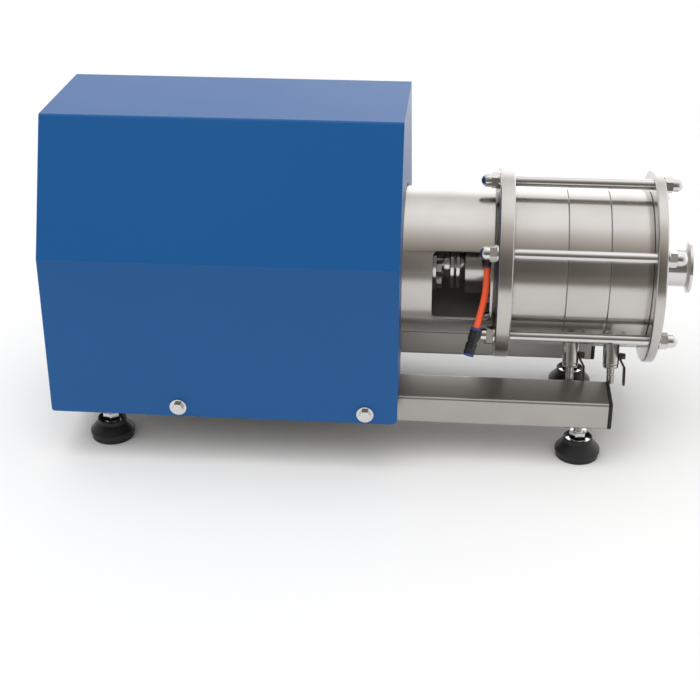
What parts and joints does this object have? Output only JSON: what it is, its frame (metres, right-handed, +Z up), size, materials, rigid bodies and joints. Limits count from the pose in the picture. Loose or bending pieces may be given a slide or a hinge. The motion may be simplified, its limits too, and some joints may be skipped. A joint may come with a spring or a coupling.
{
  "type": "inline high shear mixer",
  "caption": "Inline high shear mixer: a foot mounted motor under a sheet cover drives toothed rotors in a clamped ring chamber with end and side ports.",
  "frame": {"origin": "centre of the bounding box on the floor, without the flush tube and its union", "axes": "+X along the shaft towards the inlet, +Y to the outlet side at the rear, +Z up"},
  "size_m": [0.618, 0.2534, 0.3354],
  "materials": {
    "acorn_nuts": "bright steel",
    "cap_screws": "bright steel",
    "chamber_gaskets": "black rubber",
    "cooling_fan": "black plastic",
    "coupling": "turned steel",
    "coupling_bolts": "bright steel",
    "cover_bolts": "bright steel",
    "cover_washers": "bright steel",
    "crossmembers": "satin stainless steel",
    "drive_end_shield": "grey painted casting",
    "end_plate": "satin stainless steel",
    "fan_cowl": "grey painted casting",
    "flush_elbow": "black plastic",
    "flush_tube": "orange polyurethane",
    "foot_base_1": "black plastic",
    "foot_base_2": "black plastic",
    "foot_base_3": "black plastic",
    "foot_base_4": "black plastic",
    "foot_spindle_1": "bright steel",
    "foot_spindle_2": "bright steel",
    "foot_spindle_3": "bright steel",
    "foot_spindle_4": "bright steel",
    "front_rail": "satin stainless steel",
    "inlet_ferrule": "satin stainless steel",
    "inlet_ring": "satin stainless steel",
    "lantern": "satin stainless steel",
    "middle_ring": "satin stainless steel",
    "motor_bearings": "turned steel",
    "motor_cover": "semi gloss blue coating",
    "motor_foot_bolts": "turned steel",
    "motor_frame": "grey painted casting",
    "motor_rotor": "turned steel",
    "motor_stator": "laminated steel",
    "outlet_ferrule": "satin stainless steel",
    "outlet_ring": "satin stainless steel",
    "pump_shaft": "satin stainless steel",
    "rail_end_caps": "black plastic",
    "rear_end_shield": "grey painted casting",
    "rear_rail": "satin stainless steel",
    "rotor_1": "satin stainless steel",
    "rotor_2": "satin stainless steel",
    "rotor_3": "satin stainless steel",
    "rotor_nut": "satin stainless steel",
    "seal_head": "lapped seal face",
    "seal_housing": "satin stainless steel",
    "seal_plate": "satin stainless steel",
    "seal_seat": "lapped seal face",
    "slinger_discs": "satin stainless steel",
    "stator_1": "satin stainless steel",
    "stator_2": "satin stainless steel",
    "stator_3": "satin stainless steel",
    "terminal_box": "grey painted casting",
    "tie_rod_washers": "bright steel",
    "tie_rods": "bright steel",
    "tube_union": "black plastic",
    "valve_ball_1": "satin stainless steel",
    "valve_ball_2": "satin stainless steel",
    "valve_bodies": "satin stainless steel",
    "valve_lever_1": "dark brownish steel",
    "valve_lever_2": "dark brownish steel"
  },
  "bodies": {
    "chassis": {"acorn_nuts": "acorn_nuts", "cap_screws": "cap_screws", "chamber_gaskets": "chamber_gaskets", "cover_bolts": "cover_bolts", "cover_washers": "cover_washers", "crossmembers": "crossmembers", "drive_end_shield": "drive_end_shield", "end_plate": "end_plate", "fan_cowl": "fan_cowl", "flush_elbow": "flush_elbow", "flush_tube": "flush_tube", "front_rail": "front_rail", "inlet_ferrule": "inlet_ferrule", "inlet_ring": "inlet_ring", "lantern": "lantern", "middle_ring": "middle_ring", "motor_bearings": "motor_bearings", "motor_cover": "motor_cover", "motor_foot_bolts": "motor_foot_bolts", "motor_frame": "motor_frame", "motor_stator": "motor_stator", "outlet_ferrule": "outlet_ferrule", "outlet_ring": "outlet_ring", "rail_end_caps": "rail_end_caps", "rear_end_shield": "rear_end_shield", "rear_rail": "rear_rail", "seal_housing": "seal_housing", "seal_plate": "seal_plate", "seal_seat": "seal_seat", "stator_1": "stator_1", "stator_2": "stator_2", "stator_3": "stator_3", "terminal_box": "terminal_box", "tie_rod_washers": "tie_rod_washers", "tie_rods": "tie_rods", "tube_union": "tube_union", "valve_bodies": "valve_bodies"},
    "rotor": {"motor_rotor": "motor_rotor", "cooling_fan": "cooling_fan", "coupling": "coupling", "coupling_bolts": "coupling_bolts", "pump_shaft": "pump_shaft", "slinger_discs": "slinger_discs", "seal_head": "seal_head", "rotor_1": "rotor_1", "rotor_2": "rotor_2", "rotor_3": "rotor_3", "rotor_nut": "rotor_nut"},
    "drain_handle_1": {"valve_ball_1": "valve_ball_1", "valve_lever_1": "valve_lever_1"},
    "drain_handle_2": {"valve_ball_2": "valve_ball_2", "valve_lever_2": "valve_lever_2"},
    "foot_1": {"foot_base_1": "foot_base_1", "foot_spindle_1": "foot_spindle_1"},
    "foot_2": {"foot_base_2": "foot_base_2", "foot_spindle_2": "foot_spindle_2"},
    "foot_3": {"foot_base_3": "foot_base_3", "foot_spindle_3": "foot_spindle_3"},
    "foot_4": {"foot_base_4": "foot_base_4", "foot_spindle_4": "foot_spindle_4"}
  },
  "joints": [
    {"name": "shaft_spin", "type": "hinge", "parent": "chassis", "child": "rotor", "pos_m": [0, 0, 0.174], "axis": [1, 0, 0], "continuous": true},
    {"name": "drain_handle_1_turn", "type": "hinge", "parent": "chassis", "child": "drain_handle_1", "pos_m": [0.1965, -0.03372, 0.09055], "axis": [1, 0, 0], "range_deg": [0, 90]},
    {"name": "drain_handle_2_turn", "type": "hinge", "parent": "chassis", "child": "drain_handle_2", "pos_m": [0.2365, -0.03372, 0.09055], "axis": [1, 0, 0], "range_deg": [0, 90]},
    {"name": "foot_1_height", "type": "slide", "parent": "chassis", "child": "foot_1", "axis": [0, 0, 1], "range_m": [-0.008, 0.008]},
    {"name": "foot_2_height", "type": "slide", "parent": "chassis", "child": "foot_2", "axis": [0, 0, 1], "range_m": [-0.008, 0.008]},
    {"name": "foot_3_height", "type": "slide", "parent": "chassis", "child": "foot_3", "axis": [0, 0, 1], "range_m": [-0.008, 0.008]},
    {"name": "foot_4_height", "type": "slide", "parent": "chassis", "child": "foot_4", "axis": [0, 0, 1], "range_m": [-0.008, 0.008]}
  ]
}
